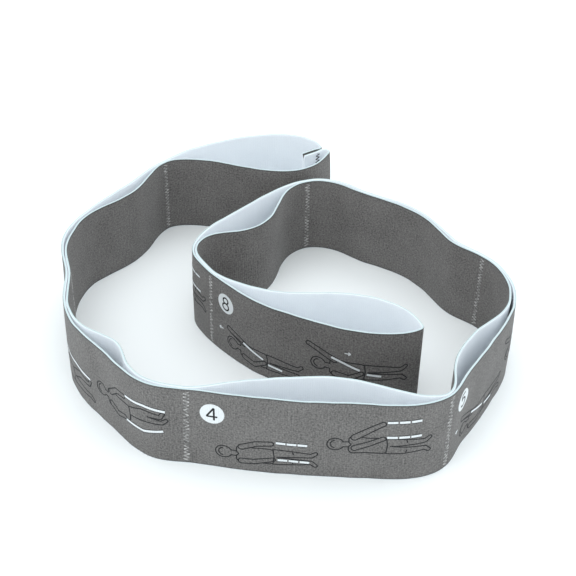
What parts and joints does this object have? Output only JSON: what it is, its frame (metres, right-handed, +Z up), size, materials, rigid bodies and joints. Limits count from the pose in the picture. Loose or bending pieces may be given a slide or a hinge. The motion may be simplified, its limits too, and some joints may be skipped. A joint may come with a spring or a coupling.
{
  "type": "looped stretching strap",
  "caption": "Elastic stretching strap: one webbing folded double and zigzag-stitched across into a row of hand and foot loops, standing on edge in a loose coil.",
  "frame": {"origin": "middle of the strap's footprint, on the surface that it stands on", "axes": "+Z up, across the strap's width; +Y from the front loop to the closing seam at the back; +X to the right of the front loop"},
  "size_m": [0.2022, 0.2096, 0.04],
  "materials": {
    "webbing": "woven elastic, dark grey face, matt",
    "webbing_white_face": "woven elastic, white inner face and edges, faintly blue, matt",
    "print_white": "white screen-printing ink on webbing, matt",
    "print_black": "near-black screen-printing ink on webbing, matt",
    "pale_thread": "polyester sewing thread, pale grey",
    "dark_thread": "polyester sewing thread, near black"
  },
  "bodies": {
    "loop_1": {"loop_1_outer_layer": "webbing", "loop_1_inner_layer": "webbing", "closing_seam_needle_thread": "dark_thread", "closing_seam_bobbin_thread": "dark_thread"},
    "loop_2": {"loop_2_outer_layer": "webbing", "loop_2_inner_layer": "webbing", "seam_1_2_needle_thread": "pale_thread", "seam_1_2_bobbin_thread": "pale_thread"},
    "loop_3": {"loop_3_outer_layer": "webbing", "loop_3_inner_layer": "webbing", "seam_2_3_needle_thread": "pale_thread", "seam_2_3_bobbin_thread": "pale_thread"},
    "loop_4": {"loop_4_outer_layer": "webbing", "loop_4_inner_layer": "webbing", "seam_3_4_needle_thread": "pale_thread", "seam_3_4_bobbin_thread": "pale_thread", "seam_4_5_needle_thread": "pale_thread", "seam_4_5_bobbin_thread": "pale_thread"},
    "loop_5": {"loop_5_outer_layer": "webbing", "loop_5_inner_layer": "webbing", "seam_5_6_needle_thread": "pale_thread", "seam_5_6_bobbin_thread": "pale_thread"},
    "loop_6": {"loop_6_outer_layer": "webbing", "loop_6_inner_layer": "webbing", "seam_6_7_needle_thread": "pale_thread", "seam_6_7_bobbin_thread": "pale_thread"},
    "loop_7": {"loop_7_outer_layer": "webbing", "loop_7_inner_layer": "webbing", "seam_7_8_needle_thread": "pale_thread", "seam_7_8_bobbin_thread": "pale_thread"},
    "loop_8": {"loop_8_folded_layers": "webbing"}
  },
  "joints": [
    {"name": "bend_3_4", "type": "hinge", "parent": "loop_4", "child": "loop_3", "pos_m": [-0.03719, -0.09621, 0.02], "axis": [0, 0, 1], "range_deg": [-2, 110]},
    {"name": "bend_2_3", "type": "hinge", "parent": "loop_3", "child": "loop_2", "pos_m": [-0.09498, -0.01941, 0.02], "axis": [0, 0, 1], "range_deg": [-2, 110]},
    {"name": "bend_1_2", "type": "hinge", "parent": "loop_2", "child": "loop_1", "pos_m": [-0.06139, 0.07439, 0.02], "axis": [0, 0, 1], "range_deg": [-3, 110]},
    {"name": "bend_4_5", "type": "hinge", "parent": "loop_4", "child": "loop_5", "pos_m": [0.06642, -0.09661, 0.02], "axis": [0, 0, -1], "range_deg": [-12, 125]},
    {"name": "bend_5_6", "type": "hinge", "parent": "loop_5", "child": "loop_6", "pos_m": [0.09051, -0.00341, 0.02], "axis": [0, 0, -1], "range_deg": [-8, 6]},
    {"name": "bend_6_7", "type": "hinge", "parent": "loop_6", "child": "loop_7", "pos_m": [0.01072, 0.05879, 0.02], "axis": [0, 0, -1], "range_deg": [-8, 35]},
    {"name": "bend_7_8", "type": "hinge", "parent": "loop_7", "child": "loop_8", "pos_m": [-0.03139, -0.01911, 0.02], "axis": [0, 0, -1], "range_deg": [-25, 15]}
  ]
}
